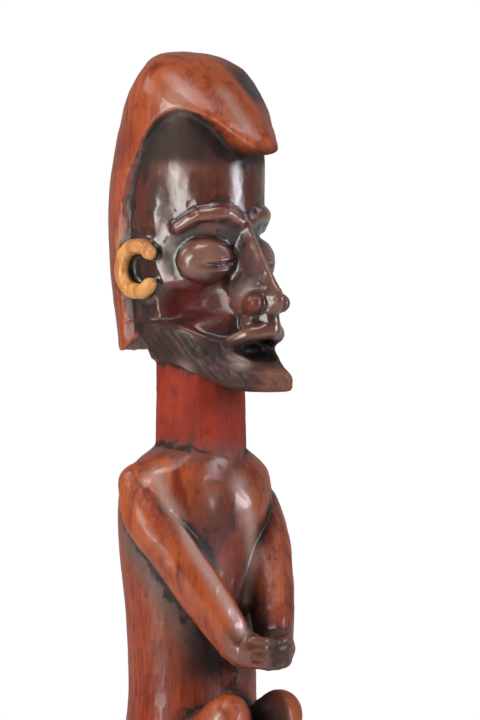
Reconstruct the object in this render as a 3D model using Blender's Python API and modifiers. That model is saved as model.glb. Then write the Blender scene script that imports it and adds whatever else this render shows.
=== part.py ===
"""A carved wooden power figure, squatting on a low round base, cut from one block of wood.

Sizes are in millimetres in this file and become metres when a mesh is made. A point on the figure is written
(side, forward, up): side is to the figure's left, forward is where it looks, up is the height over ground.
The row frame has +X to the figure's left, -Y forward and +Z up, with its origin under the middle of the base.
"""

import math

import bmesh
import bpy
import numpy as np
from mathutils import Vector

MM = 0.001

# Heights of the main levels
BASE_TOP = 25.0
KNEE = 135.0
CHIN = 297.5
MOUTH = 317.5
NOSE_TIP = 343.0
EYE = 361.5
BROW = 381.0
CROWN = 467.5

# Plan sizes
BASE_HALF_WIDTH = 53.0
BASE_HALF_DEPTH = 62.0
BASE_MIDDLE_FORWARD = 7.0
NECK_RADIUS = 22.8
NECK_FORWARD = 3.4
EYE_SIDE = 17.0

# How finely the wood is cut
SEGMENTS = 150
RINGS = 230
VOXEL = 1.5
SMOOTHING_ROUNDS = 4
TRIANGLES_WANTED = 9600
CUT_BELOW = 6.0


def row(side, forward, up):
    """A point of the figure, in millimetres, as a place in the row frame, in metres."""
    return Vector((side * MM, -(forward - BASE_MIDDLE_FORWARD) * MM, up * MM))


def smooth_step(value, low, high):
    t = np.clip((value - low) / (high - low), 0.0, 1.0)
    return t * t * (3.0 - 2.0 * t)


def through(keys, at):
    """A smooth curve through the stations of keys that never overshoots them, read at the places in at."""
    places = np.array([key[0] for key in keys], float)
    values = np.array([key[1] for key in keys], float)
    rates = np.diff(values) / np.diff(places)
    before, after = rates[:-1], rates[1:]
    same_way = before * after > 0
    inner = np.where(same_way, 2 * before * after / np.where(same_way, before + after, 1.0), 0.0)
    slopes = np.concatenate([rates[:1], inner, rates[-1:]])
    at = np.clip(at, places[0], places[-1])
    i = np.clip(np.searchsorted(places, at) - 1, 0, len(places) - 2)
    gap = places[i + 1] - places[i]
    t = (at - places[i]) / gap
    return (
        values[i] * (1 + 2 * t) * (1 - t) ** 2
        + slopes[i] * gap * t * (1 - t) ** 2
        + values[i + 1] * t * t * (3 - 2 * t)
        + slopes[i + 1] * gap * t * t * (t - 1)
    )


def mound(side, up, at_side, at_up, half_width, half_height, edge=2.0):
    """A raised patch 1 high. A larger edge gives a flatter top and a crisper border."""
    reach = np.abs((side - at_side) / half_width) ** edge + np.abs((up - at_up) / half_height) ** edge
    return np.exp(-reach)


def shaped_ball(name, low, high, outline, segments=SEGMENTS, rings=RINGS):
    """A ball primitive whose rings are spread from low to high and pushed out to outline(turn, up, across).

    turn is the angle from straight ahead, positive to the figure's left, and across is each ring's radius,
    which is 0 at the poles and 1 half way up. outline gives (side, forward, up).
    """
    bpy.ops.mesh.primitive_uv_sphere_add(segments=segments, ring_count=rings, radius=1.0)
    ball = bpy.context.object
    ball.name = name
    co = np.empty(len(ball.data.vertices) * 3)
    ball.data.vertices.foreach_get("co", co)
    co = co.reshape(-1, 3)
    turn = np.arctan2(co[:, 0], -co[:, 1])
    up = (low + high) / 2 + (high - low) / 2 * np.clip(co[:, 2], -1, 1)
    across = np.sqrt(np.clip(1 - co[:, 2] ** 2, 0, 1))
    side, forward, up = outline(turn, up, across)
    placed = np.stack([side * MM, -(forward - BASE_MIDDLE_FORWARD) * MM, up * MM], axis=1)
    ball.data.vertices.foreach_set("co", placed.ravel())
    ball.data.update()
    return ball


def ellipsoid(name, centre, half, tilt=(0.0, 0.0, 0.0)):
    """A ball stretched to half = (side, forward, up) half-lengths and turned by tilt, in degrees."""
    bpy.ops.mesh.primitive_uv_sphere_add(segments=48, ring_count=24, radius=1.0, location=row(*centre))
    ball = bpy.context.object
    ball.name = name
    ball.scale = [h * MM for h in half]
    ball.rotation_euler = [math.radians(a) for a in tilt]
    return ball


def limb(name, stations):
    """A round tapering limb through stations of (side, forward, up, radius), with rounded ends."""
    steps = 8
    last = len(stations) - 1
    at = np.linspace(0, last, last * steps + 1)
    columns = [through([(i, s[c]) for i, s in enumerate(stations)], at) for c in range(4)]
    curve = bpy.data.curves.new(name, "CURVE")
    curve.dimensions = "3D"
    curve.bevel_depth = MM
    curve.bevel_resolution = 6
    curve.use_fill_caps = True
    spline = curve.splines.new("POLY")
    spline.points.add(len(at) - 1)
    for point, side, forward, up, radius in zip(spline.points, *columns):
        point.co = (*row(side, forward, up), 1.0)
        point.radius = radius
    tube = bpy.data.objects.new(name, curve)
    bpy.context.scene.collection.objects.link(tube)
    parts = [as_mesh(tube)]
    for side, forward, up, radius in (stations[0], stations[-1]):
        parts.append(ellipsoid(name + "_end", (side, forward, up), (radius, radius, radius)))
    return parts


def as_mesh(curve_object):
    """The curve as a mesh object in the same place, with its caps welded on."""
    evaluated = curve_object.evaluated_get(bpy.context.evaluated_depsgraph_get())
    mesh = bpy.data.meshes.new_from_object(evaluated)
    made = bpy.data.objects.new(curve_object.name, mesh)
    made.matrix_world = curve_object.matrix_world
    bpy.context.scene.collection.objects.link(made)
    bm = bmesh.new()
    bm.from_mesh(mesh)
    bmesh.ops.remove_doubles(bm, verts=bm.verts, dist=1e-6)
    bm.to_mesh(mesh)
    bm.free()
    bpy.data.objects.remove(curve_object)
    return made


# The head

# Under the hair, by height: half width, front, back
SKULL_HALF_WIDTH = [(CHIN - 1, 24), (306, 27), (MOUTH, 29.5), (333, 30.5), (348, 31.5), (EYE, 32.5),
                    (BROW, 33), (410, 33.5), (436, 31), (456, 20), (CROWN - 4, 6)]
SKULL_FRONT = [(CHIN - 1, 66), (300, 70), (305, 69.5), (308.5, 64), (313, 50), (MOUTH + 3, 44), (333, 41),
               (348, 38), (EYE, 34.5), (BROW, 36.5), (410, 35.5), (436, 30), (456, 18), (CROWN - 4, 4)]
SKULL_BACK = [(CHIN - 1, -18), (306, -24), (MOUTH, -32), (333, -38), (348, -41), (EYE, -43), (BROW, -43.5),
              (410, -42), (436, -36), (456, -26), (CROWN - 4, -14)]
# How far the plan is drawn in to a wedge in front: 0 is an oval, 1 is a narrow wedge
WEDGE = [(CHIN - 1, 0.95), (309, 0.85), (MOUTH, 0.5), (NOSE_TIP, 0.2), (EYE, 0.0), (CROWN, 0.0)]
JAW_RISE = 15.0

# The hair, a smooth keeled cap with a beak over the forehead, and a guard behind the ears down to the nape
HAIR_HALF_WIDTH = [(314, 34), (330, 35), (342, 36), (360, 37.5), (385, 38), (402, 37.5), (414, 36.6),
                   (422, 36), (430, 36), (437, 35.7), (443, 35.5), (450.5, 34), (456.5, 31), (462.5, 23.5),
                   (465.5, 15.5), (CROWN, 2)]
HAIR_MIDDLE = [(314, -4.5), (330, -4.5), (342, -4), (360, -3.5), (385, -4), (402, -3), (414, -1.5),
               (430, 0), (443, -1), (456.5, -1.5), (462.5, -4.4), (CROWN, -9)]
HAIR_HALF_DEPTH = [(314, 36.5), (330, 39), (342, 42), (360, 45), (385, 45.5), (402, 45.5), (414, 44.5),
                   (422, 44), (430, 40.5), (437, 37.2), (443, 32.5), (450.5, 25.8), (456.5, 20),
                   (462.5, 15), (465.5, 10.5), (CROWN, 2)]
KEEL_REACH = [(400, 12.0), (417, 14.0), (422, 10.5), (430, 6.0), (437, 4.0), (443, 3.4), (450.5, 2.4),
              (462.5, 1.0), (CROWN, 0.0)]
KEEL_TURN = 0.42
# Height of the hair's edge by degrees from straight ahead: a point in front, an arch over each temple
HAIR_EDGE = [(0, 413.5), (8, 414.5), (18, 419.5), (33, 430), (46, 434.5), (58, 436), (72, 433), (88, 424),
             (100, 408), (107, 396), (180, 394)]
# Degrees from straight ahead of the guard's front edge, by height
GUARD_TURN = [(314, 115), (345, 112), (385, 108), (400, 103.5), (410, 99)]
HAIR_EDGE_SOFTNESS = 1.6
GUARD_SOFTNESS = 2.0


def skull_outline(turn, up):
    """The bare head's side and forward at each turn and height."""
    ahead = np.cos(turn)
    wedge = through(WEDGE, up) * smooth_step(ahead, -0.2, 0.6)
    side = through(SKULL_HALF_WIDTH, up) * np.sign(np.sin(turn)) * np.abs(np.sin(turn)) ** (1 + 1.3 * wedge)
    forward = np.where(ahead > 0, through(SKULL_FRONT, up), -through(SKULL_BACK, up)) * ahead
    return side, forward


def face_relief(side, up, ahead):
    """The raised beard along the jaw, less the sockets, the hollow cheeks and the temples."""
    fore = smooth_step(ahead, 0.1, 0.4)
    apart = np.abs(side)
    socket = 5.0 * mound(apart, up, EYE_SIDE, EYE + 2.0, 14.0, 13.0, 3.0)
    under_cheek = 8.5 * mound(apart, up, 24.5, 340.5 - 0.2 * (apart - 24.5), 11.0, 8.5, 3.0)
    temple = 1.5 * mound(apart, up, 31.0, 388.0, 8.0, 14.0)
    beard_edge = 331.5 - 9.0 * smooth_step(ahead, 0.35, 0.8) - 14.0 * smooth_step(ahead, 0.82, 0.97)
    beard = 3.6 * smooth_step(beard_edge - up, -1.0, 1.0) * smooth_step(ahead, -0.25, 0.05)
    beard = beard * (1 - 0.8 * smooth_step(ahead, 0.7, 0.98))
    return beard - fore * (socket + under_cheek) - temple * smooth_step(ahead, 0.0, 0.3)


def hair_share(turn, up):
    """1 on the hair and 0 on the skin: above the arch over each temple, or behind the guard's front edge."""
    edge = through([(math.radians(d), h) for d, h in HAIR_EDGE], np.abs(turn))
    above = smooth_step(up - edge, -HAIR_EDGE_SOFTNESS, HAIR_EDGE_SOFTNESS)
    behind = smooth_step(np.degrees(np.abs(turn)) - through(GUARD_TURN, up), -GUARD_SOFTNESS, GUARD_SOFTNESS)
    return 1 - (1 - above) * (1 - behind * smooth_step(up, 314.0, 316.5))


def head_outline(turn, up, across):
    side, forward = skull_outline(turn, up)
    ahead = np.cos(turn)
    push = face_relief(side, up, ahead)
    side = side + push * np.sin(turn)
    forward = forward + push * ahead
    # the hair stands over the skull
    reach = through(KEEL_REACH, up) * np.exp(-(np.abs(turn) / KEEL_TURN) ** 1.5)
    hair_side = through(HAIR_HALF_WIDTH, up) * np.sin(turn)
    hair_forward = through(HAIR_MIDDLE, up) + through(HAIR_HALF_DEPTH, up) * ahead + reach
    hair = hair_share(turn, up)
    side = side + (hair_side - side) * hair
    forward = forward + (hair_forward - forward) * hair
    # both ends close to a point
    close = np.clip(across * 6.0, 0, 1)
    middle = np.where(up > EYE, -9.0, 12.0)
    forward = middle + (forward - middle) * close
    # the jaw's lower edge climbs from the chin back to the nape
    rise = (1 - hair) * JAW_RISE * (1 - smooth_step(forward, 2.0, 52.0)) * smooth_step(332.0 - up, 0.0, 30.0)
    return side * close, forward, up + rise


def features(hand):
    """One side of the face: brow, bulging eye, nostril and half of each lip."""
    parts = limb("brow", [
        (hand * 3.0, 35.0, 381.0, 3.6),
        (hand * 12.0, 33.6, 385.5, 4.0),
        (hand * 21.0, 27.0, 384.5, 3.8),
        (hand * 28.5, 17.0, 378.0, 2.6),
    ])
    parts.append(ellipsoid("eye", (hand * EYE_SIDE, 26.0, EYE + 0.5), (14.5, 8.8, 11.5), (0, 0, hand * 31)))
    parts.append(ellipsoid("nostril", (hand * 8.0, 50.0, 341.0), (5.0, 7.5, 5.4), (0, 0, hand * 20)))
    parts += limb("upper_lip", [
        (hand * 14.5, 40.0, 322.0, 3.0),
        (hand * 8.5, 49.5, 326.0, 4.2),
        (0.0, 55.0, 328.0, 4.6),
    ])
    parts += limb("lower_lip", [
        (hand * 14.0, 40.0, 315.5, 2.8),
        (hand * 8.0, 49.5, 309.5, 3.6),
        (0.0, 54.5, 308.0, 4.0),
    ])
    return parts


# The nose by height: how far forward its ridge runs, and its half width
NOSE_FOOT = 334.0
NOSE_HEAD = 388.0
NOSE_RIDGE = [(NOSE_FOOT, 57), (338, 61.5), (NOSE_TIP, 63.5), (353, 57.5), (368, 47.5), (386, 37)]
NOSE_HALF_WIDTH = [(NOSE_FOOT, 10.5), (338, 11.8), (NOSE_TIP, 11.2), (353, 8.0), (368, 5.4), (386, 4.0)]
NOSE_ROOT = 26.0


def nose_outline(turn, up, across):
    """A wedge in plan: pointed ahead, broad where it meets the face."""
    ahead = np.cos(turn)
    fore = np.clip(ahead, 0, 1)
    side = through(NOSE_HALF_WIDTH, up) * np.sin(turn) * (1 - 0.38 * fore)
    reach = through(NOSE_RIDGE, up) - NOSE_ROOT
    forward = NOSE_ROOT + np.where(ahead > 0, reach, 6.0) * ahead
    close = np.clip(across * 3.0, 0, 1) ** 0.7
    return side * close, NOSE_ROOT + (forward - NOSE_ROOT) * close, up


def nose():
    """A long nose, narrow at its root and broad at the nostrils, and the muzzle and ridge under it."""
    wedge = shaped_ball("nose", NOSE_FOOT, NOSE_HEAD, nose_outline, 64, 96)
    muzzle = ellipsoid("muzzle", (0, 45.5, 331.5), (9.5, 9.0, 8.0))
    return [wedge, muzzle] + limb("philtrum", [(0, 52.0, 338.0, 5.5), (0, 54.5, 329.0, 5.0)])


def ear(hand):
    """A C-shaped ear, open to the front, standing off the side of the head."""
    stations = []
    for step in range(9):
        angle = math.radians(42 + step * 276 / 8)
        side = 35.6 + 1.2 * math.cos(angle)
        forward = -3.5 + 13.0 * math.cos(angle)
        up = 358.0 + 11.6 * math.sin(angle)
        stations.append((hand * side, forward, up, 4.5 - 0.7 * abs(step - 4) / 4))
    return limb("ear", stations)


# The body

TORSO_HALF_WIDTH = [(24, 30), (40, 38), (65, 42), (90, 40), (120, 36), (150, 33.5), (180, 35.5), (210, 39),
                    (232, 42.5), (246, 45), (256, 43), (263, 35), (270, 23), (276, 15)]
TORSO_FRONT = [(24, 18), (40, 24), (65, 27), (90, 28), (120, 27), (150, 25.5), (180, 25), (210, 25.5),
               (232, 26.5), (246, 27), (256, 26), (263, 25), (270, 23), (276, 18)]
TORSO_BACK = [(24, -34), (40, -42), (65, -45), (90, -42), (120, -37), (150, -34.6), (180, -34.4),
              (210, -36), (232, -34), (246, -28), (256, -23), (263, -19.5), (270, -17), (276, -10)]


def torso_outline(turn, up, across):
    half_width = through(TORSO_HALF_WIDTH, up)
    ahead = np.cos(turn)
    side = half_width * np.sin(turn)
    forward = np.where(ahead > 0, through(TORSO_FRONT, up), -through(TORSO_BACK, up)) * ahead
    apart = np.abs(side)
    chest = 4.0 * mound(apart, up, 17.0, 239.0, 13.0, 11.0) * smooth_step(ahead, 0.1, 0.5)
    navel = 4.5 * mound(side, up, 0.0, 157.0, 5.5, 5.5) * smooth_step(ahead, 0.5, 0.9)
    spine = -3.0 * mound(side, up, 0.0, 165.0, 5.0, 85.0, 4.0) * smooth_step(-ahead, 0.3, 0.8)
    blade = 3.0 * mound(apart, up, 20.0, 232.0, 10.0, 18.0) * smooth_step(-ahead, 0.2, 0.6)
    push = chest + navel + spine + blade
    close = np.clip(across * 5.0, 0, 1)
    return side * close, (forward + push * np.sign(ahead)) * close, up


def arm(hand):
    """An arm that swings forward from the shoulder to the hands over the belly."""
    return limb("arm", [
        (hand * 35.0, -3.0, 251.0, 11.0),
        (hand * 37.4, 4.5, 236.0, 12.0),
        (hand * 32.0, 17.5, 219.0, 12.2),
        (hand * 25.6, 26.2, 204.0, 12.2),
        (hand * 18.4, 36.0, 187.0, 11.2),
        (hand * 13.0, 43.0, 174.0, 9.6),
    ])


def hand_and_fingers(hand):
    """A hand with four fingers, its tips against the other hand."""
    parts = [ellipsoid("palm", (hand * 10.0, 47.5, 170.5), (10.5, 9.5, 9.5), (6, 0, hand * 18))]
    for finger in range(4):
        top = 176.0 - finger * 3.9
        parts += limb("finger", [
            (hand * 12.5, 54.5 - 0.4 * finger, top, 2.5),
            (hand * 6.5, 58.1 - 0.4 * finger, top - 1.0, 2.5),
            (hand * 1.6, 57.3 - 0.4 * finger, top - 2.0, 2.3),
        ])
    return parts


def leg(hand):
    """A folded leg: thigh up to the raised knee, shin down to the foot."""
    thigh = limb("thigh", [
        (hand * 21.0, -6.0, 82.0, 21.0),
        (hand * 19.0, 10.0, 104.0, 18.5),
        (hand * 17.5, 27.0, 124.0, 14.6),
        (hand * 17.2, 38.0, KNEE - 1, 12.4),
    ])
    knee = [ellipsoid("knee", (hand * 17.2, 42.0, KNEE + 1), (12.5, 11.0, 13.0))]
    shin = limb("shin", [
        (hand * 17.0, 41.5, KNEE - 2, 12.0),
        (hand * 17.3, 42.0, 108.0, 11.6),
        (hand * 17.6, 38.0, 78.0, 12.0),
        (hand * 18.0, 34.0, 48.0, 9.4),
        (hand * 18.3, 33.0, 33.0, 9.4),
    ])
    foot = [ellipsoid("foot", (hand * 18.5, 42.0, 29.5), (11.5, 20.0, 8.5), (0, 0, hand * 4))]
    for toe in range(5):
        foot += limb("toe", [
            (hand * (11.5 + toe * 4.0), 52.0, 30.0, 2.6),
            (hand * (10.8 + toe * 4.4), 60.5 - 0.9 * toe, 28.0, 2.4),
        ])
    return thigh + knee + shin + foot


def base():
    """The low oval block that the figure squats on."""
    thickness = (BASE_TOP + CUT_BELOW) * MM
    middle = (BASE_TOP - CUT_BELOW) / 2 * MM
    bpy.ops.mesh.primitive_cylinder_add(vertices=96, radius=1.0, depth=thickness, location=(0, 0, middle))
    block = bpy.context.object
    block.name = "base"
    block.scale = (BASE_HALF_WIDTH * MM, BASE_HALF_DEPTH * MM, 1.0)
    bpy.ops.object.transform_apply(location=False, rotation=False, scale=True)
    return block


def one_block(parts, name):
    """All the parts grown into one closed piece of wood, softened, thinned and cut flat at the ground."""
    bpy.ops.object.select_all(action="DESELECT")
    for part in parts:
        part.select_set(True)
    bpy.context.view_layer.objects.active = parts[0]
    bpy.ops.object.join()
    figure = bpy.context.object
    figure.name = name
    bpy.ops.object.transform_apply(location=True, rotation=True, scale=True)
    remesh = figure.modifiers.new("grown_together", "REMESH")
    remesh.mode = "VOXEL"
    remesh.voxel_size = VOXEL * MM
    soften = figure.modifiers.new("softened", "SMOOTH")
    soften.factor = 0.5
    soften.iterations = SMOOTHING_ROUNDS
    for modifier in ("grown_together", "softened"):
        bpy.ops.object.modifier_apply(modifier=modifier)
    for cutter in cutters():
        carve(figure, cutter)
    faces = sum(len(face.vertices) - 2 for face in figure.data.polygons)
    thin = figure.modifiers.new("thinned", "DECIMATE")
    thin.ratio = TRIANGLES_WANTED / faces
    bpy.ops.object.modifier_apply(modifier="thinned")
    cut_flat(figure)
    return figure


def cutters():
    """The mouth, the bowls of the ears and the slits of the eyes."""
    cuts = [ellipsoid("mouth_cut", (0, 54.0, MOUTH), (12.0, 17.0, 4.4))]
    for hand in (-1, 1):
        cuts.append(ellipsoid("ear_cut", (hand * 39.0, -2.5, 358.0), (6.0, 8.5, 7.4)))
        slit = (hand * (EYE_SIDE + 4.6), 34.0, EYE - 1.5)
        cuts.append(ellipsoid("eye_cut", slit, (11.0, 3.0, 1.2), (0, 0, hand * 31)))
    return cuts


def carve(figure, cutter):
    """Cuts the cutter's shape out of the figure, and takes the cutter away."""
    cut = figure.modifiers.new("carved", "BOOLEAN")
    cut.operation = "DIFFERENCE"
    cut.solver = "EXACT"
    cut.object = cutter
    bpy.context.view_layer.objects.active = figure
    bpy.ops.object.modifier_apply(modifier=cut.name)
    bpy.data.objects.remove(cutter)


def cut_flat(figure):
    """Saws the piece off level at the ground and closes the cut."""
    bm = bmesh.new()
    bm.from_mesh(figure.data)
    found = bmesh.ops.bisect_plane(
        bm,
        geom=bm.verts[:] + bm.edges[:] + bm.faces[:],
        plane_co=(0, 0, 0),
        plane_no=(0, 0, -1),
        clear_outer=True,
    )
    edges = [e for e in found["geom_cut"] if isinstance(e, bmesh.types.BMEdge)]
    bmesh.ops.contextual_create(bm, geom=edges)
    bmesh.ops.triangulate(bm, faces=bm.faces)
    bm.to_mesh(figure.data)
    bm.free()


def wood():
    """Red-brown hardwood with a glossy handled surface."""
    material = bpy.data.materials.new("carved_hardwood")
    material.use_nodes = True
    shader = material.node_tree.nodes["Principled BSDF"]
    shader.inputs["Base Color"].default_value = (0.19, 0.052, 0.022, 1)
    shader.inputs["Roughness"].default_value = 0.38
    shader.inputs["Metallic"].default_value = 0.0
    return material


def clear_scene():
    for obj in list(bpy.data.objects):
        bpy.data.objects.remove(obj)


def build():
    clear_scene()
    parts = [
        base(),
        shaped_ball("torso", 22.0, 276.0, torso_outline),
        shaped_ball("head", CHIN - 1.0, CROWN, head_outline),
    ]
    parts += nose()
    parts += limb("neck", [
        (0, NECK_FORWARD - 2, 256.0, 24.0),
        (0, NECK_FORWARD, 272.0, NECK_RADIUS),
        (0, NECK_FORWARD, 292.0, NECK_RADIUS - 0.4),
        (0, NECK_FORWARD - 1, 315.0, NECK_RADIUS - 1),
        (0, NECK_FORWARD - 3, 340.0, NECK_RADIUS - 3),
    ])
    for hand in (-1, 1):
        parts += features(hand) + ear(hand) + arm(hand) + hand_and_fingers(hand) + leg(hand)
    figure = one_block(parts, "figure")
    figure.data.materials.clear()
    figure.data.materials.append(wood())
    figure.data.shade_smooth()
    collection = bpy.data.collections.new("power_figure")
    bpy.context.scene.collection.children.link(collection)
    for owner in list(figure.users_collection):
        owner.objects.unlink(figure)
    collection.objects.link(figure)


build()
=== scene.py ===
# %% [markdown]
# # A carved wooden power figure
# The real object is one block of red-brown hardwood, cut with an adze and a knife, then oiled and handled
# until the face turned nearly black. A coarse solid of it exists already and sets its size. This script grows
# the same forms again at a finer grain, adds the knife's work, and gives the wood its colours and gloss.

import math

import bmesh
import bpy
import numpy as np
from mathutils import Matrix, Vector
from mathutils.bvhtree import BVHTree
from mathutils.kdtree import KDTree


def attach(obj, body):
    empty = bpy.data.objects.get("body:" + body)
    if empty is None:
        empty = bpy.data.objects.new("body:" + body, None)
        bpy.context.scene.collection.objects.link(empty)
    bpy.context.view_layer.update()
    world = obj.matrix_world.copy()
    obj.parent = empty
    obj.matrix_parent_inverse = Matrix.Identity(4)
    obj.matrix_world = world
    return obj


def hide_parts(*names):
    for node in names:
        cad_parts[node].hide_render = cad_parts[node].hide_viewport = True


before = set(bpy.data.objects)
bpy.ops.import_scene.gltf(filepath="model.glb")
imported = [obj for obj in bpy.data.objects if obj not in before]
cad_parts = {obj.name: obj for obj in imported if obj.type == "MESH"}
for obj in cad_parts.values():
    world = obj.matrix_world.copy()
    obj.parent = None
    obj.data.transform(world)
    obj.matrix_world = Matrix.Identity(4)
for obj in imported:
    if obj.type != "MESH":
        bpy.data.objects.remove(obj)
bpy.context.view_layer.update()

# %% [markdown]
# The photograph looks at the figure's right front, level with its chest and from well back, so the carving
# hardly narrows with distance. A long lens does that. The figure is cut off at the knees by the lower edge.

# %% Camera
VIEW_TURN = math.radians(-43.0)
VIEW_RISE = math.radians(1.0)
VIEW_AWAY = 2.0
AIM_RIGHT = 0.0172
AIM_UP = 0.3125
LENS = 200.0
SENSOR_WIDTH = 36.0

right_of_view = Vector((math.cos(VIEW_TURN), math.sin(VIEW_TURN), 0.0))
towards_camera = Vector((
    math.sin(VIEW_TURN) * math.cos(VIEW_RISE),
    -math.cos(VIEW_TURN) * math.cos(VIEW_RISE),
    math.sin(VIEW_RISE),
))
aim = right_of_view * AIM_RIGHT + Vector((0, 0, AIM_UP))

camera_data = bpy.data.cameras.new("studio_camera")
camera_data.lens = LENS
camera_data.sensor_width = SENSOR_WIDTH
camera = bpy.data.objects.new("studio_camera", camera_data)
bpy.context.scene.collection.objects.link(camera)
camera.location = aim + towards_camera * VIEW_AWAY
camera.rotation_euler = (aim - camera.location).to_track_quat("-Z", "Y").to_euler()
bpy.context.scene.camera = camera
print("camera stands at", [round(v, 3) for v in camera.location])

# %% [markdown]
# The figure stands in a white cove. Its floor is a wide disc in matt white, seen only from other sides.
# A world background is simpler than walls: it is white where the camera sees it, and dimmer where the wood
# mirrors it, because the walls of a real cove get less light than the object.

# %% Floor and surroundings


def linear(hex_colour):
    """An sRGB colour such as "b4583a" as the linear RGBA that shaders want."""
    channels = [int(hex_colour[i:i + 2], 16) / 255 for i in (0, 2, 4)]
    return [c / 12.92 if c <= 0.04045 else ((c + 0.055) / 1.055) ** 2.4 for c in channels] + [1.0]


def add(tree, kind, links=None, **settings):
    """Adds a node, sets its properties and unlinked inputs, and links its other inputs."""
    node = tree.nodes.new(kind)
    for name, value in settings.items():
        setattr(node, name, value)
    for name, value in (links or {}).items():
        if isinstance(value, bpy.types.NodeSocket):
            tree.links.new(value, node.inputs[name])
        else:
            node.inputs[name].default_value = value
    return node


FLOOR_RADIUS = 1.1
bpy.ops.mesh.primitive_circle_add(vertices=128, radius=FLOOR_RADIUS, fill_type="NGON", location=(0, 0, 0))
floor = bpy.context.object
floor.name = "studio_floor"
floor_paint = bpy.data.materials.new("matt_white_floor")
floor_paint.use_nodes = True
floor_shader = floor_paint.node_tree.nodes["Principled BSDF"]
floor_shader.inputs["Base Color"].default_value = linear("f2f1ef")
floor_shader.inputs["Roughness"].default_value = 0.9
floor.data.materials.append(floor_paint)

SEEN_WHITE = 1.0
BACKDROP_WHITE = 0.35
ROOM_GREY = 0.02
BACKDROP_EDGE = 0.05
BACKDROP_MIDDLE = 0.6
world = bpy.data.worlds.new("white_cove")
bpy.context.scene.world = world
world.use_nodes = True
cove = world.node_tree
cove.nodes.clear()
ray = add(cove, "ShaderNodeLightPath")
direction = add(cove, "ShaderNodeTexCoord").outputs["Generated"]
away = add(cove, "ShaderNodeVectorMath", {0: direction, 1: -towards_camera}, operation="DOT_PRODUCT")
behind = add(cove, "ShaderNodeMapRange", {
    "Value": away.outputs["Value"], "From Min": BACKDROP_EDGE, "From Max": BACKDROP_MIDDLE,
    "To Min": ROOM_GREY, "To Max": BACKDROP_WHITE}).outputs[0]
level = add(cove, "ShaderNodeMix", {"Factor": ray.outputs["Is Camera Ray"], "A": behind, "B": SEEN_WHITE})
glow = add(cove, "ShaderNodeBackground", {"Color": linear("ffffff"), "Strength": level.outputs[0]})
add(cove, "ShaderNodeOutputWorld", {"Surface": glow.outputs[0]})
print("floor and cove made")

# %% [markdown]
# The highlights tell where the lamps were. A broad one well to the left lights the near side and puts an
# upright highlight on the forehead, and a tall narrow one to the right edges the far side. On each side a
# weaker one stands higher and farther round, and a fifth hangs over the head. Area lamps make such soft
# upright highlights, which a sun or a point lamp can't.

# %% Lamps
LAMP_AWAY = 1.3
WARM = "fff8f2"
COOL = "f6f5ff"


def softbox(name, turn, rise, size, watts, colour="ffffff"):
    """A rectangular soft lamp, placed by degrees to the camera's right and above it, aimed at the chest."""
    lamp_data = bpy.data.lights.new(name, "AREA")
    lamp_data.shape = "RECTANGLE"
    lamp_data.size, lamp_data.size_y = size
    lamp_data.energy = watts
    lamp_data.color = linear(colour)[:3]
    lamp = bpy.data.objects.new(name, lamp_data)
    bpy.context.scene.collection.objects.link(lamp)
    around = VIEW_TURN + math.radians(turn)
    up = math.radians(rise)
    lamp.location = aim + LAMP_AWAY * Vector((
        math.sin(around) * math.cos(up), -math.cos(around) * math.cos(up), math.sin(up)))
    lamp.rotation_euler = (aim - lamp.location).to_track_quat("-Z", "Y").to_euler()


softbox("left_softbox", -43, 6, (0.38, 0.8), 13.5, WARM)
softbox("left_high_softbox", -85, 35, (0.4, 0.5), 5, WARM)
softbox("right_softbox", 66, 6, (0.22, 0.6), 10, COOL)
softbox("right_high_softbox", 85, 46, (0.35, 0.5), 2, COOL)
softbox("top_softbox", -10, 66, (0.6, 0.5), 7)
bpy.context.scene.view_settings.view_transform = "Standard"
print("five lamps made,", LAMP_AWAY, "m from the figure")

# %% [markdown]
# Sizes are in millimetres. A point on the figure is (side, forward, up): side is to its left, forward is
# where it looks. They repeat the main levels of the solid, so the finer figure stands exactly in its place.

# %% Sizes
MM = 0.001
BASE_TOP = 25.0
KNEE = 135.0
CHIN = 297.5
MOUTH = 317.5
NOSE_TIP = 343.0
EYE = 361.5
BROW = 381.0
CROWN = 467.5
BASE_HALF_WIDTH = 53.0
BASE_HALF_DEPTH = 62.0
BASE_MIDDLE_FORWARD = 7.0
NECK_RADIUS = 22.8
NECK_FORWARD = 3.4
EYE_SIDE = 17.0
CUT_BELOW = 6.0


def row(side, forward, up):
    """A point of the figure, in millimetres, as a place in the scene, in metres."""
    return Vector((side * MM, -(forward - BASE_MIDDLE_FORWARD) * MM, up * MM))


def smooth_step(value, low, high):
    """0 below low, 1 above high, and an S-shaped rise between them."""
    t = np.clip((value - low) / (high - low), 0.0, 1.0)
    return t * t * (3.0 - 2.0 * t)


def through(keys, at):
    """A smooth curve through the stations of keys that never overshoots them, read at the places in at."""
    places = np.array([key[0] for key in keys], float)
    values = np.array([key[1] for key in keys], float)
    rates = np.diff(values) / np.diff(places)
    before, after = rates[:-1], rates[1:]
    same_way = before * after > 0
    inner = np.where(same_way, 2 * before * after / np.where(same_way, before + after, 1.0), 0.0)
    slopes = np.concatenate([rates[:1], inner, rates[-1:]])
    at = np.clip(at, places[0], places[-1])
    i = np.clip(np.searchsorted(places, at) - 1, 0, len(places) - 2)
    gap = places[i + 1] - places[i]
    t = (at - places[i]) / gap
    return (
        values[i] * (1 + 2 * t) * (1 - t) ** 2
        + slopes[i] * gap * t * (1 - t) ** 2
        + values[i + 1] * t * t * (3 - 2 * t)
        + slopes[i + 1] * gap * t * t * (t - 1)
    )


def mound(side, up, at_side, at_up, half_width, half_height, edge=2.0):
    """A raised patch 1 high. A larger edge gives a flatter top and a crisper border."""
    off_side = np.abs((side - at_side) / half_width)
    off_up = np.abs((up - at_up) / half_height)
    return np.exp(-(off_side ** edge + off_up ** edge))


print("the figure is", CROWN, "mm tall")

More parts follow.
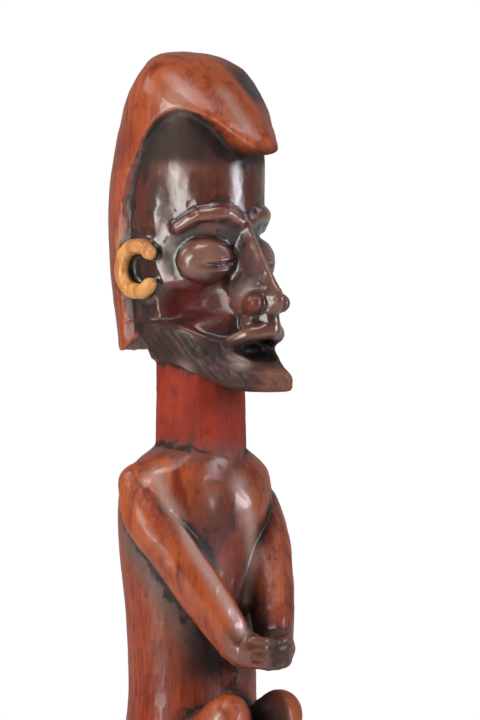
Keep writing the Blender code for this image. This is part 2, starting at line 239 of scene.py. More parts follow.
# %% [markdown]
# Every form starts as a primitive. A ball's rings are pushed out to the outline that the form has at each
# height, a stretched ball makes eyes and knees, and a bevelled curve makes a limb that tapers through its
# stations. That keeps each form as a few real sizes, which a photograph can be measured against.

# %% Helpers for forms


def shaped_ball(name, low, high, outline, segments=260, rings=320):
    """A ball whose rings run from low to high, pushed out to outline(turn, up), 0 being straight ahead."""
    bpy.ops.mesh.primitive_uv_sphere_add(segments=segments, ring_count=rings, radius=1.0)
    ball = bpy.context.object
    ball.name = name
    co = np.empty(len(ball.data.vertices) * 3)
    ball.data.vertices.foreach_get("co", co)
    co = co.reshape(-1, 3)
    turn = np.arctan2(co[:, 0], -co[:, 1])
    up = (low + high) / 2 + (high - low) / 2 * np.clip(co[:, 2], -1, 1)
    across = np.sqrt(np.clip(1 - co[:, 2] ** 2, 0, 1))
    side, forward, up = outline(turn, up, across)
    placed = np.stack([side * MM, -(forward - BASE_MIDDLE_FORWARD) * MM, up * MM], axis=1)
    ball.data.vertices.foreach_set("co", placed.ravel())
    ball.data.update()
    return ball


def ellipsoid(name, centre, half, tilt=(0.0, 0.0, 0.0)):
    """A ball stretched to half = (side, forward, up) half-lengths and turned by tilt, in degrees."""
    bpy.ops.mesh.primitive_uv_sphere_add(segments=48, ring_count=24, radius=1.0, location=row(*centre))
    ball = bpy.context.object
    ball.name = name
    ball.scale = [h * MM for h in half]
    ball.rotation_euler = [math.radians(a) for a in tilt]
    return ball


def limb(name, stations):
    """A round tapering limb through stations of (side, forward, up, radius), with rounded ends."""
    steps = 8
    last = len(stations) - 1
    at = np.linspace(0, last, last * steps + 1)
    columns = [through([(i, s[c]) for i, s in enumerate(stations)], at) for c in range(4)]
    curve = bpy.data.curves.new(name, "CURVE")
    curve.dimensions = "3D"
    curve.bevel_depth = MM
    curve.bevel_resolution = 6
    curve.use_fill_caps = True
    spline = curve.splines.new("POLY")
    spline.points.add(len(at) - 1)
    for point, side, forward, up, radius in zip(spline.points, *columns):
        point.co = (*row(side, forward, up), 1.0)
        point.radius = radius
    tube = bpy.data.objects.new(name, curve)
    bpy.context.scene.collection.objects.link(tube)
    parts = [as_mesh(tube)]
    for side, forward, up, radius in (stations[0], stations[-1]):
        parts.append(ellipsoid(name + "_end", (side, forward, up), (radius, radius, radius)))
    return parts


def as_mesh(curve_object):
    """The curve as a mesh object in the same place, with its caps welded on."""
    evaluated = curve_object.evaluated_get(bpy.context.evaluated_depsgraph_get())
    mesh = bpy.data.meshes.new_from_object(evaluated)
    made = bpy.data.objects.new(curve_object.name, mesh)
    made.matrix_world = curve_object.matrix_world
    bpy.context.scene.collection.objects.link(made)
    bm = bmesh.new()
    bm.from_mesh(mesh)
    bmesh.ops.remove_doubles(bm, verts=bm.verts, dist=1e-6)
    bm.to_mesh(mesh)
    bm.free()
    bpy.data.objects.remove(curve_object)
    return made


parts = []
print("helpers ready")

# %% [markdown]
# The head is one tall oval. Under the hair it is a smooth skull with the sockets and the hollows of the
# cheeks cut in, and a jaw that is drawn out to a wedge of beard. The hair is a smooth keeled cap: it arches
# over each temple, comes to a beak over the forehead, and runs down behind the ears as a guard.

# %% Head
SKULL_HALF_WIDTH = [(CHIN - 1, 24), (306, 27), (MOUTH, 29.5), (333, 30.5), (348, 31.5), (EYE, 32.5),
                    (BROW, 33), (410, 33.5), (436, 31), (456, 20), (CROWN - 4, 6)]
SKULL_FRONT = [(CHIN - 1, 66), (300, 70), (305, 69.5), (308.5, 64), (313, 50), (MOUTH + 3, 44), (333, 41),
               (348, 38), (EYE, 34.5), (BROW, 36.5), (410, 35.5), (436, 30), (456, 18), (CROWN - 4, 4)]
SKULL_BACK = [(CHIN - 1, -18), (306, -24), (MOUTH, -32), (333, -38), (348, -41), (EYE, -43),
              (BROW, -43.5), (410, -42), (436, -36), (456, -26), (CROWN - 4, -14)]
WEDGE = [(CHIN - 1, 0.95), (309, 0.85), (MOUTH, 0.5), (NOSE_TIP, 0.2), (EYE, 0.0), (CROWN, 0.0)]
JAW_RISE = 15.0

HAIR_HALF_WIDTH = [(314, 34), (330, 35), (342, 36), (360, 37.5), (385, 38), (402, 37.5), (414, 36.6),
                   (422, 36), (430, 36), (437, 35.7), (443, 35.5), (450.5, 34), (456.5, 31),
                   (462.5, 23.5), (465.5, 15.5), (CROWN, 2)]
HAIR_MIDDLE = [(314, -4.5), (330, -4.5), (342, -4), (360, -3.5), (385, -4), (402, -3), (414, -1.5),
               (430, 0), (443, -1), (456.5, -1.5), (462.5, -4.4), (CROWN, -9)]
HAIR_HALF_DEPTH = [(314, 36.5), (330, 39), (342, 42), (360, 45), (385, 45.5), (402, 45.5), (414, 44.5),
                   (422, 44), (430, 40.5), (437, 37.2), (443, 32.5), (450.5, 25.8), (456.5, 20),
                   (462.5, 15), (465.5, 10.5), (CROWN, 2)]
KEEL_REACH = [(400, 12.0), (417, 14.0), (422, 10.5), (430, 6.0), (437, 4.0), (443, 3.4), (450.5, 2.4),
              (462.5, 1.0), (CROWN, 0.0)]
KEEL_TURN = 0.42
HAIR_EDGE = [(0, 413.5), (8, 414.5), (18, 419.5), (33, 430), (46, 434.5), (58, 436), (72, 433), (88, 424),
             (100, 408), (107, 396), (180, 394)]
GUARD_TURN = [(314, 115), (345, 112), (385, 108), (400, 103.5), (410, 99)]
HAIR_EDGE_SOFTNESS = 1.0
GUARD_SOFTNESS = 1.5


def skull_outline(turn, up):
    """The bare head's side and forward at each turn and height."""
    ahead = np.cos(turn)
    wedge = through(WEDGE, up) * smooth_step(ahead, -0.2, 0.6)
    side = through(SKULL_HALF_WIDTH, up) * np.sign(np.sin(turn)) * np.abs(np.sin(turn)) ** (1 + 1.3 * wedge)
    forward = np.where(ahead > 0, through(SKULL_FRONT, up), -through(SKULL_BACK, up)) * ahead
    return side, forward


def beard_edge(ahead):
    """How high the beard reaches: up to the jaw's corner at the side, and under the lip in front."""
    return 331.5 - 9.0 * smooth_step(ahead, 0.35, 0.8) - 14.0 * smooth_step(ahead, 0.82, 0.97)


def face_relief(side, up, ahead):
    """The raised beard along the jaw, less the sockets, the hollow cheeks and the temples."""
    fore = smooth_step(ahead, 0.1, 0.4)
    apart = np.abs(side)
    socket = 5.0 * mound(apart, up, EYE_SIDE, EYE + 2.0, 14.0, 13.0, 3.0)
    under_cheek = 8.5 * mound(apart, up, 24.5, 340.5 - 0.2 * (apart - 24.5), 11.0, 8.5, 3.0)
    temple = 1.5 * mound(apart, up, 31.0, 388.0, 8.0, 14.0)
    beard = 3.6 * smooth_step(beard_edge(ahead) - up, -1.0, 1.0) * smooth_step(ahead, -0.25, 0.05)
    beard = beard * (1 - 0.8 * smooth_step(ahead, 0.7, 0.98))
    return beard - fore * (socket + under_cheek) - temple * smooth_step(ahead, 0.0, 0.3)


def hair_share(turn, up):
    """1 on the hair and 0 on the skin: above the arch over each temple, or behind the guard's front edge."""
    edge = through([(math.radians(d), h) for d, h in HAIR_EDGE], np.abs(turn))
    above = smooth_step(up - edge, -HAIR_EDGE_SOFTNESS, HAIR_EDGE_SOFTNESS)
    behind = smooth_step(np.degrees(np.abs(turn)) - through(GUARD_TURN, up), -GUARD_SOFTNESS, GUARD_SOFTNESS)
    return 1 - (1 - above) * (1 - behind * smooth_step(up, 314.0, 316.5))


def head_outline(turn, up, across):
    """The skull with its face, under the keeled cap of hair and its beak."""
    side, forward = skull_outline(turn, up)
    ahead = np.cos(turn)
    push = face_relief(side, up, ahead)
    side = side + push * np.sin(turn)
    forward = forward + push * ahead
    reach = through(KEEL_REACH, up) * np.exp(-(np.abs(turn) / KEEL_TURN) ** 1.5)
    hair_side = through(HAIR_HALF_WIDTH, up) * np.sin(turn)
    hair_forward = through(HAIR_MIDDLE, up) + through(HAIR_HALF_DEPTH, up) * ahead + reach
    hair = hair_share(turn, up)
    side = side + (hair_side - side) * hair
    forward = forward + (hair_forward - forward) * hair
    close = np.clip(across * 6.0, 0, 1)
    middle = np.where(up > EYE, -9.0, 12.0)
    forward = middle + (forward - middle) * close
    rise = (1 - hair) * JAW_RISE * (1 - smooth_step(forward, 2.0, 52.0)) * smooth_step(332.0 - up, 0.0, 30.0)
    return side * close, forward, up + rise


parts.append(shaped_ball("head", CHIN - 1.0, CROWN, head_outline))
parts += limb("neck", [
    (0, NECK_FORWARD - 2, 256.0, 24.0),
    (0, NECK_FORWARD, 272.0, NECK_RADIUS),
    (0, NECK_FORWARD, 292.0, NECK_RADIUS - 0.4),
    (0, NECK_FORWARD - 1, 315.0, NECK_RADIUS - 1),
    (0, NECK_FORWARD - 3, 340.0, NECK_RADIUS - 3),
])
print("head and neck:", len(parts), "parts so far")

# %% [markdown]
# The face is cut large and simple: a wedge of a nose, bulging eyes under low brows, and thrust-out lips.
# The nose is another shaped ball, narrow at its root and broad at the nostrils, and a stretched ball under it
# makes the muzzle that carries the upper lip.

# %% Face
NOSE_RIDGE = [(334, 57), (338, 61.5), (NOSE_TIP, 63.5), (353, 57.5), (368, 47.5), (386, 37)]
NOSE_HALF_WIDTH = [(334, 10.5), (338, 11.8), (NOSE_TIP, 11.2), (353, 8.0), (368, 5.4), (386, 4.0)]
NOSE_ROOT = 26.0


def nose_outline(turn, up, across):
    """A wedge in plan: pointed ahead, broad where it meets the face."""
    ahead = np.cos(turn)
    fore = np.clip(ahead, 0, 1)
    side = through(NOSE_HALF_WIDTH, up) * np.sin(turn) * (1 - 0.38 * fore)
    reach = through(NOSE_RIDGE, up) - NOSE_ROOT
    forward = NOSE_ROOT + np.where(ahead > 0, reach, 6.0) * ahead
    close = np.clip(across * 3.0, 0, 1) ** 0.7
    return side * close, NOSE_ROOT + (forward - NOSE_ROOT) * close, up


parts.append(shaped_ball("nose", 334.0, 388.0, nose_outline, 64, 96))
parts.append(ellipsoid("muzzle", (0, 45.5, 331.5), (9.5, 9.0, 8.0)))
parts += limb("philtrum", [(0, 52.0, 338.0, 5.5), (0, 54.5, 329.0, 5.0)])
for hand in (-1, 1):
    parts += limb("brow", [
        (hand * 3.0, 35.0, 381.0, 3.6),
        (hand * 12.0, 33.6, 385.5, 4.0),
        (hand * 21.0, 27.0, 384.5, 3.8),
        (hand * 28.5, 17.0, 378.0, 2.6),
    ])
    parts.append(ellipsoid("eye", (hand * EYE_SIDE, 26.0, EYE + 0.5), (14.5, 8.8, 11.5), (0, 0, hand * 31)))
    parts.append(ellipsoid("nostril", (hand * 8.0, 50.0, 341.0), (5.0, 7.5, 5.4), (0, 0, hand * 20)))
    parts += limb("upper_lip", [
        (hand * 14.5, 40.0, 322.0, 3.0),
        (hand * 8.5, 49.5, 326.0, 4.2),
        (0.0, 55.0, 328.0, 4.6),
    ])
    parts += limb("lower_lip", [
        (hand * 14.0, 40.0, 315.5, 2.8),
        (hand * 8.0, 49.5, 309.5, 3.6),
        (0.0, 54.5, 308.0, 4.0),
    ])
print("face: eyes", EYE_SIDE * 2, "mm apart")

# %% [markdown]
# The ears are C-shaped rolls of wood that open to the front. They were left paler, worn by hands.

# %% Ears
EAR_FORWARD = -3.5
EAR_UP = 358.0
EAR_HALF_DEPTH = 13.0
EAR_HALF_HEIGHT = 11.6
EAR_OPENS_AT = 42
EAR_RUNS = 276

for hand in (-1, 1):
    stations = []
    for step in range(9):
        angle = math.radians(EAR_OPENS_AT + step * EAR_RUNS / 8)
        stations.append((
            hand * (35.6 + 1.2 * math.cos(angle)),
            EAR_FORWARD + EAR_HALF_DEPTH * math.cos(angle),
            EAR_UP + EAR_HALF_HEIGHT * math.sin(angle),
            4.5 - 0.7 * abs(step - 4) / 4,
        ))
    parts += limb("ear", stations)
print("ears made")

# %% [markdown]
# The trunk is a plain column with square shoulders, a slight breast, a navel, and a groove for the spine. It
# could be modelled by pushing a cylinder about, but one more shaped ball keeps it as three short lists: how
# wide it is, and where its front and back stand, at each height.

# %% Trunk
TORSO_HALF_WIDTH = [(24, 30), (40, 38), (65, 42), (90, 40), (120, 36), (150, 33.5), (180, 35.5),
                    (210, 39), (232, 42.5), (246, 45), (256, 43), (263, 35), (270, 23), (276, 15)]
TORSO_FRONT = [(24, 18), (40, 24), (65, 27), (90, 28), (120, 27), (150, 25.5), (180, 25), (210, 25.5),
               (232, 26.5), (246, 27), (256, 26), (263, 25), (270, 23), (276, 18)]
TORSO_BACK = [(24, -34), (40, -42), (65, -45), (90, -42), (120, -37), (150, -34.6), (180, -34.4),
              (210, -36), (232, -34), (246, -28), (256, -23), (263, -19.5), (270, -17), (276, -10)]


def torso_outline(turn, up, across):
    """The column of the trunk with chest, navel, spine groove and shoulder blades."""
    half_width = through(TORSO_HALF_WIDTH, up)
    ahead = np.cos(turn)
    side = half_width * np.sin(turn)
    forward = np.where(ahead > 0, through(TORSO_FRONT, up), -through(TORSO_BACK, up)) * ahead
    apart = np.abs(side)
    chest = 4.0 * mound(apart, up, 17.0, 239.0, 13.0, 11.0) * smooth_step(ahead, 0.1, 0.5)
    navel = 4.5 * mound(side, up, 0.0, 157.0, 5.5, 5.5) * smooth_step(ahead, 0.5, 0.9)
    spine = -3.0 * mound(side, up, 0.0, 165.0, 5.0, 85.0, 4.0) * smooth_step(-ahead, 0.3, 0.8)
    blade = 3.0 * mound(apart, up, 20.0, 232.0, 10.0, 18.0) * smooth_step(-ahead, 0.2, 0.6)
    push = chest + navel + spine + blade
    close = np.clip(across * 5.0, 0, 1)
    return side * close, (forward + push * np.sign(ahead)) * close, up


parts.append(shaped_ball("torso", 22.0, 276.0, torso_outline))
print("trunk made")

# %% [markdown]
# The arms swing forward and down to the belly, free of the trunk below the elbow, and the hands meet over the
# raised knees. Each arm is a tapered limb through six stations. Each finger is a short limb too, because on
# such a hand only the cuts between the fingers tell them apart.

# %% Arms and hands
ARM = [(35.0, -3.0, 251.0, 11.0), (37.4, 4.5, 236.0, 12.0), (32.0, 17.5, 219.0, 12.2),
       (25.6, 26.2, 204.0, 12.2), (18.4, 36.0, 187.0, 11.2), (13.0, 43.0, 174.0, 9.6)]
FINGER_TOP = 176.0
FINGER_SPACING = 3.9

for hand in (-1, 1):
    parts += limb("arm", [(hand * side, forward, up, radius) for side, forward, up, radius in ARM])
    parts.append(ellipsoid("palm", (hand * 10.0, 47.5, 170.5), (10.5, 9.5, 9.5), (6, 0, hand * 18)))
    for finger in range(4):
        top = FINGER_TOP - finger * FINGER_SPACING
        parts += limb("finger", [
            (hand * 12.5, 54.5 - 0.4 * finger, top, 2.5),
            (hand * 6.5, 58.1 - 0.4 * finger, top - 1.0, 2.5),
            (hand * 1.6, 57.3 - 0.4 * finger, top - 2.0, 2.3),
        ])
print("arms made")

# %% [markdown]
# The figure squats. The photograph cuts it off at the knees, so the shins, the feet and the low oval base are
# finished in the same way, only plainer. The base starts below the ground, where it is sawn flat later.

# %% Legs and base
for hand in (-1, 1):
    parts += limb("thigh", [
        (hand * 21.0, -6.0, 82.0, 21.0),
        (hand * 19.0, 10.0, 104.0, 18.5),
        (hand * 17.5, 27.0, 124.0, 14.6),
        (hand * 17.2, 38.0, KNEE - 1, 12.4),
    ])
    parts.append(ellipsoid("knee", (hand * 17.2, 42.0, KNEE + 1), (12.5, 11.0, 13.0)))
    parts += limb("shin", [
        (hand * 17.0, 41.5, KNEE - 2, 12.0),
        (hand * 17.3, 42.0, 108.0, 11.6),
        (hand * 17.6, 38.0, 78.0, 12.0),
        (hand * 18.0, 34.0, 48.0, 9.4),
        (hand * 18.3, 33.0, 33.0, 9.4),
    ])
    parts.append(ellipsoid("foot", (hand * 18.5, 42.0, 29.5), (11.5, 20.0, 8.5), (0, 0, hand * 4)))
    for toe in range(5):
        parts += limb("toe", [
            (hand * (11.5 + toe * 4.0), 52.0, 30.0, 2.6),
            (hand * (10.8 + toe * 4.4), 60.5 - 0.9 * toe, 28.0, 2.4),
        ])

bpy.ops.mesh.primitive_cylinder_add(
    vertices=128,
    radius=1.0,
    depth=(BASE_TOP + CUT_BELOW) * MM,
    location=(0, 0, (BASE_TOP - CUT_BELOW) / 2 * MM),
)
block = bpy.context.object
block.name = "base"
block.scale = (BASE_HALF_WIDTH * MM, BASE_HALF_DEPTH * MM, 1.0)
bpy.ops.object.transform_apply(location=False, rotation=False, scale=True)
parts.append(block)
print("legs and base made:", len(parts), "parts in all")

# %% [markdown]
# On the real thing there are no parts, only wood. A voxel remesh grows the overlapping forms into one skin,
# and a little smoothing rounds the places where they meet, as a rasp would. The mouth and the bowls of the
# ears are cut out while the skin is still coarse, and a finer remesh takes them up.

# %% One block of wood


def apply_modifier(piece, kind, **settings):
    """Adds a modifier with its settings and applies it."""
    modifier = piece.modifiers.new(kind.lower(), kind)
    for name, value in settings.items():
        setattr(modifier, name, value)
    bpy.context.view_layer.objects.active = piece
    bpy.ops.object.modifier_apply(modifier=modifier.name)


COARSE = 1.1
FINE = 0.62

bpy.ops.object.select_all(action="DESELECT")
for part in parts:
    part.select_set(True)
bpy.context.view_layer.objects.active = parts[0]
bpy.ops.object.join()
figure = bpy.context.object
figure.name = "carved_figure"
bpy.ops.object.transform_apply(location=True, rotation=True, scale=True)
apply_modifier(figure, "REMESH", mode="VOXEL", voxel_size=COARSE * MM)
apply_modifier(figure, "SMOOTH", factor=0.5, iterations=4)

cutters = [ellipsoid("mouth_cut", (0, 54.0, MOUTH), (12.0, 17.0, 4.4))]
for hand in (-1, 1):
    cutters.append(ellipsoid("ear_cut", (hand * 39.0, EAR_FORWARD + 1.0, EAR_UP), (6.0, 8.5, 7.4)))
for cutter in cutters:
    apply_modifier(figure, "BOOLEAN", operation="DIFFERENCE", solver="EXACT", object=cutter)
    bpy.data.objects.remove(cutter)
apply_modifier(figure, "REMESH", mode="VOXEL", voxel_size=FINE * MM)
apply_modifier(figure, "SMOOTH", factor=0.5, iterations=6)
print("skin of", len(figure.data.vertices), "points")

# %% [markdown]
# The knife's work is drawn on the skin as strokes. Sculpting by hand would do it too, but could only be
# repeated by hand. Each stroke is a line on the figure with a width and a depth in millimetres, the depth
# below zero for a cut, and the points near it are moved in or out along their normals.

# %% Strokes


def skin_points(mesh):
    """The mesh's points as (side, forward, up) in millimetres, and its normals in the same axes."""
    co = np.empty(len(mesh.vertices) * 3)
    mesh.vertices.foreach_get("co", co)
    no = np.empty(len(mesh.vertices) * 3)
    mesh.vertex_normals.foreach_get("vector", no)
    co, no = co.reshape(-1, 3), no.reshape(-1, 3)
    where = np.stack([co[:, 0] / MM, BASE_MIDDLE_FORWARD - co[:, 1] / MM, co[:, 2] / MM], axis=1)
    return where, np.stack([no[:, 0], -no[:, 1], no[:, 2]], axis=1)


def put_back(mesh, where):
    """Writes (side, forward, up) points back to the mesh."""
    co = np.stack([where[:, 0] * MM, (BASE_MIDDLE_FORWARD - where[:, 1]) * MM, where[:, 2] * MM], axis=1)
    mesh.vertices.foreach_set("co", co.ravel())
    mesh.update()


def distance_to(line, where):
    """Each point's distance to a line through the given places, and how far along it that is, 0 to 1."""
    best = np.full(len(where), 1e9)
    along = np.zeros(len(where))
    lengths = np.linalg.norm(np.diff(line, axis=0), axis=1)
    total, run = lengths.sum(), 0.0
    for start, end, length in zip(line[:-1], line[1:], lengths):
        way = (end - start) / length
        t = np.clip((where - start) @ way, 0, length)
        d = np.linalg.norm(where - start - t[:, None] * way, axis=1)
        closer = d < best
        best = np.where(closer, d, best)
        along = np.where(closer, (run + t) / total, along)
        run += length
    return best, along


def stroke(where, normals, line, width, depth, fade=0.15):
    """Moves the skin along its normals by depth within about width of the line, fading at both ends."""
    reach = 2.5 * width
    near = np.all((where > line.min(axis=0) - reach) & (where < line.max(axis=0) + reach), axis=1)
    picked = np.flatnonzero(near)
    d, along = distance_to(line, where[picked])
    ends = smooth_step(along, -0.01, fade) * (1 - smooth_step(along, 1 - fade, 1.01))
    where[picked] += normals[picked] * (depth * ends * np.exp(-(d / width) ** 2))[:, None]


def bend(points, steps=24):
    """A smooth line through a few (side, forward, up) points."""
    at = np.linspace(0, len(points) - 1, steps)
    return np.stack([through([(i, p[c]) for i, p in enumerate(points)], at) for c in range(3)], axis=1)


skin, normal = skin_points(figure.data)
print("stroke tools ready")

# %% [markdown]
# The eyes are closed to a slit between two low lids, and a fold runs from each nostril to the corner of the
# mouth. The fingers are parted by shallow cuts. Along the top of each arm an edge was left standing where two
# rows of cuts meet: the arm's middle line, moved out to the skin by shares of its radius, draws it.

# %% Cuts on the face, the hands and the arms
LID_SPACING = 2.7
for hand in (-1, 1):
    slit = bend([
        (hand * 6.5, 36.5, EYE - 0.5), (hand * EYE_SIDE, 35.5, EYE - 2.0), (hand * 29.0, 22.5, EYE - 1.0)])
    stroke(skin, normal, slit, 1.2, -1.8, 0.12)
    stroke(skin, normal, slit + [0, 0, LID_SPACING], 1.3, 0.8, 0.2)
    stroke(skin, normal, slit - [0, 0, LID_SPACING], 1.3, 0.8, 0.2)
    fold = bend([(hand * 12.5, 46.0, 344.0), (hand * 16.0, 42.0, 334.0), (hand * 18.5, 38.0, 322.0)])
    stroke(skin, normal, fold, 1.4, -0.9)
    for gap in range(3):
        level = FINGER_TOP - (gap + 0.5) * FINGER_SPACING
        cut = [(hand * 14.0, 55.0, level), (hand * 7.0, 60.4, level - 1.0), (hand * 1.0, 59.5, level - 2.0)]
        stroke(skin, normal, bend(cut), 0.7, -0.7, 0.1)
    arm_edge = [(hand * (side - 0.16 * radius), forward + 0.85 * radius, up + 0.5 * radius)
                for side, forward, up, radius in ARM]
    stroke(skin, normal, bend(arm_edge), 2.4, 0.9, 0.1)
between_hands = bend([(0, 60.5, 177), (0, 61, 168), (0, 59.5, 159)])
stroke(skin, normal, between_hands, 0.8, -0.8, 0.05)
print("face, hands and arms cut")

# %% [markdown]
# The beard is marked by shallow parallel cuts that run down and forward along the jaw. They are drawn as a
# wave across that direction, sharpened to narrow grooves, and only where the beard is.

# %% Beard
BEARD_LINE_SPACING = 4.0
BEARD_LINE_DEPTH = 0.45

side, forward, up = skin.T
turn = np.abs(np.arctan2(side, forward))
ahead = forward / np.maximum(np.hypot(side, forward), 1e-6)
from_neck = np.hypot(side, forward - NECK_FORWARD)
on_beard = smooth_step(beard_edge(ahead) - up, 0.5, 3.0) * smooth_step(up, CHIN + 2, CHIN + 5)
on_beard = on_beard * (1 - hair_share(turn, up)) * smooth_step(from_neck, 26.0, 29.0)
across_cuts = 0.8 * forward + 0.6 * up
groove = (0.5 + 0.5 * np.cos(2 * math.pi * across_cuts / BEARD_LINE_SPACING)) ** 3
skin = skin - normal * (BEARD_LINE_DEPTH * on_beard * groove)[:, None]
put_back(figure.data, skin)
print("beard lines cut,", BEARD_LINE_SPACING, "mm apart")

# %% [markdown]
# An adze and a knife leave small flat facets. Each point of the skin is drawn part of the way to the flat
# that its nearest facet centre has. The facets are about 7 mm wide and worn soft by handling.

# %% Tool facets
FACET_WIDTH = 7.0
FACET_PULL = 0.55
FACET_LIMIT = 0.22

rng = np.random.default_rng(7)
skin, normal = skin_points(figure.data)


def scattered(points, spacing, rng):
    """Indexes of points picked at random so that few lie closer than spacing."""
    order = rng.permutation(len(points))
    taken = set()
    chosen = []
    cells = np.floor(points / spacing).astype(int)
    for index in order:
        cell = tuple(cells[index])
        if cell not in taken:
            taken.add(cell)
            chosen.append(index)
    return np.array(chosen)


centres = scattered(skin, FACET_WIDTH, rng)
tree = KDTree(len(centres))
for number, index in enumerate(centres):
    tree.insert(skin[index], number)
tree.balance()
nearest = np.array([tree.find(p)[1] for p in skin])
facet_point = skin[centres][nearest]
facet_normal = normal[centres][nearest]
off = np.einsum("ij,ij->i", skin - facet_point, facet_normal)
agree = smooth_step(np.einsum("ij,ij->i", normal, facet_normal), 0.75, 0.95)
move = np.clip(-off * FACET_PULL, -FACET_LIMIT, FACET_LIMIT) * agree
skin = skin + facet_normal * move[:, None]
put_back(figure.data, skin)
apply_modifier(figure, "SMOOTH", factor=0.5, iterations=2)
print(len(centres), "facets")

# %% [markdown]
# The skin is thinned to under 200,000 triangles, which keeps more of them where it curves, and sawn flat
# at the ground, so the figure rests on the whole of its underside.

# %% Thin and saw
TRIANGLES_WANTED = 180000
SHARP_EDGE = math.radians(50)

faces = sum(len(face.vertices) - 2 for face in figure.data.polygons)
apply_modifier(figure, "DECIMATE", ratio=min(1.0, TRIANGLES_WANTED / faces))
bm = bmesh.new()
bm.from_mesh(figure.data)
everything = bm.verts[:] + bm.edges[:] + bm.faces[:]
found = bmesh.ops.bisect_plane(
    bm, geom=everything, plane_co=(0, 0, 0), plane_no=(0, 0, -1), clear_outer=True)
rim = [e for e in found["geom_cut"] if isinstance(e, bmesh.types.BMEdge)]
bmesh.ops.contextual_create(bm, geom=rim)
bmesh.ops.triangulate(bm, faces=bm.faces)
bm.to_mesh(figure.data)
bm.free()
bpy.ops.object.select_all(action="DESELECT")
figure.select_set(True)
bpy.context.view_layer.objects.active = figure
bpy.ops.object.shade_smooth_by_angle(angle=SHARP_EDGE)
print("figure has", len(figure.data.polygons), "triangles")

# %% [markdown]
# Colour on the real carving follows its use: smoke, oil, dirt and hands. Dirt stays in the hollows and hands
# wear what stands out; painted shade darkens the hollows and the shut-in places too, so the skin is measured
# first. A place is hollow by how far it lies under the smoothed skin, and shut in by the share of short rays
# out of it that meet the figure again.

# %% Hollow and shut-in places
FINE_STEPS = 6
BROAD_STEPS = 40
SHUT_IN_REACH = 30.0
RAY_START = 0.4
RAYS = 14


def neighbours_mean(values, edges, count):
    """Each point's mean over its neighbours."""
    total = np.zeros_like(values)
    np.add.at(total, edges[:, 0], values[edges[:, 1]])
    np.add.at(total, edges[:, 1], values[edges[:, 0]])
    return total / count


mesh = figure.data
skin, normal = skin_points(mesh)
edges = np.empty(len(mesh.edges) * 2, int)
mesh.edges.foreach_get("vertices", edges)
edges = edges.reshape(-1, 2)
count = np.bincount(edges.ravel(), minlength=len(skin)).astype(float)[:, None]
smooth = skin.copy()
hollow = {}
for step in range(1, BROAD_STEPS + 1):
    smooth = neighbours_mean(smooth, edges, count)
    if step in (FINE_STEPS, BROAD_STEPS):
        hollow[step] = np.einsum("ij,ij->i", smooth - skin, normal)
fine_hollow, broad_hollow = hollow[FINE_STEPS], hollow[BROAD_STEPS]

skin_tree = BVHTree.FromPolygons([Vector(p) for p in skin], [tuple(f.vertices) for f in mesh.polygons])
ways = rng.normal(size=(RAYS, 3))
ways /= np.linalg.norm(ways, axis=1)[:, None]
starts = [Vector(p) for p in skin + normal * RAY_START]
shut = np.zeros(len(skin))
cast = skin_tree.ray_cast
for way in ways:
    outward = {1.0: Vector(way), -1.0: Vector(-way), 0.0: Vector(way)}
    signs = np.sign(normal @ way)
    shut += [cast(start, outward[sign], SHUT_IN_REACH)[0] is not None for start, sign in zip(starts, signs)]
shut /= RAYS
for step in range(3):
    shut = neighbours_mean(shut[:, None], edges, count)[:, 0]
print("shut in on average", round(float(shut.mean()), 3))

# %% [markdown]
# Face, beard, neck, cheeks, ears and hands were each finished in their own way. Each gets its own region, cut
# out by the same sizes that made the form, so that its border follows the carving.

# %% Regions
side, forward, up = skin.T
apart = np.abs(side)
turn = np.abs(np.arctan2(side, forward))
ahead = forward / np.maximum(np.hypot(side, forward), 1e-6)
from_neck = np.hypot(side, forward - NECK_FORWARD)

ears_part = np.exp(-(((forward + 3.0) / 19) ** 6 + ((up - EAR_UP) / 17.5) ** 6))
ears_part = ears_part * smooth_step(apart, 33.8, 35.2)
neck_part = 1 - smooth_step(from_neck, NECK_RADIUS + 0.5, NECK_RADIUS + 3)
neck_part = neck_part * smooth_step(up, 262, 268) * (1 - smooth_step(up, 310, 316))
face_part = (1 - hair_share(turn, up)) * smooth_step(up, CHIN - 3, CHIN + 1)
face_part = face_part * (1 - ears_part) * (1 - neck_part)
cheek = np.exp(-((np.abs(apart - 22.0) / 13.0) ** 3 + (np.abs(up - 341.0) / 10.0) ** 3))
cheek = cheek * smooth_step(ahead, 0.1, 0.4) * face_part
beard = smooth_step(333.0 - 9.0 * smooth_step(ahead, 0.35, 0.8) - up, -2.0, 2.0) * face_part
chin_tip = smooth_step(forward, 52.0, 60.0) * (1 - smooth_step(up, 308.0, 312.0))
under_arch = smooth_step(up, 406.0, 413.0) * face_part
hands = smooth_step(forward, 42.0, 48.0) * smooth_step(up, 156.0, 161.0) * (1 - smooth_step(up, 179.0, 185.0))
print("the face covers", round(float(face_part.mean()), 3), "of the skin's points")
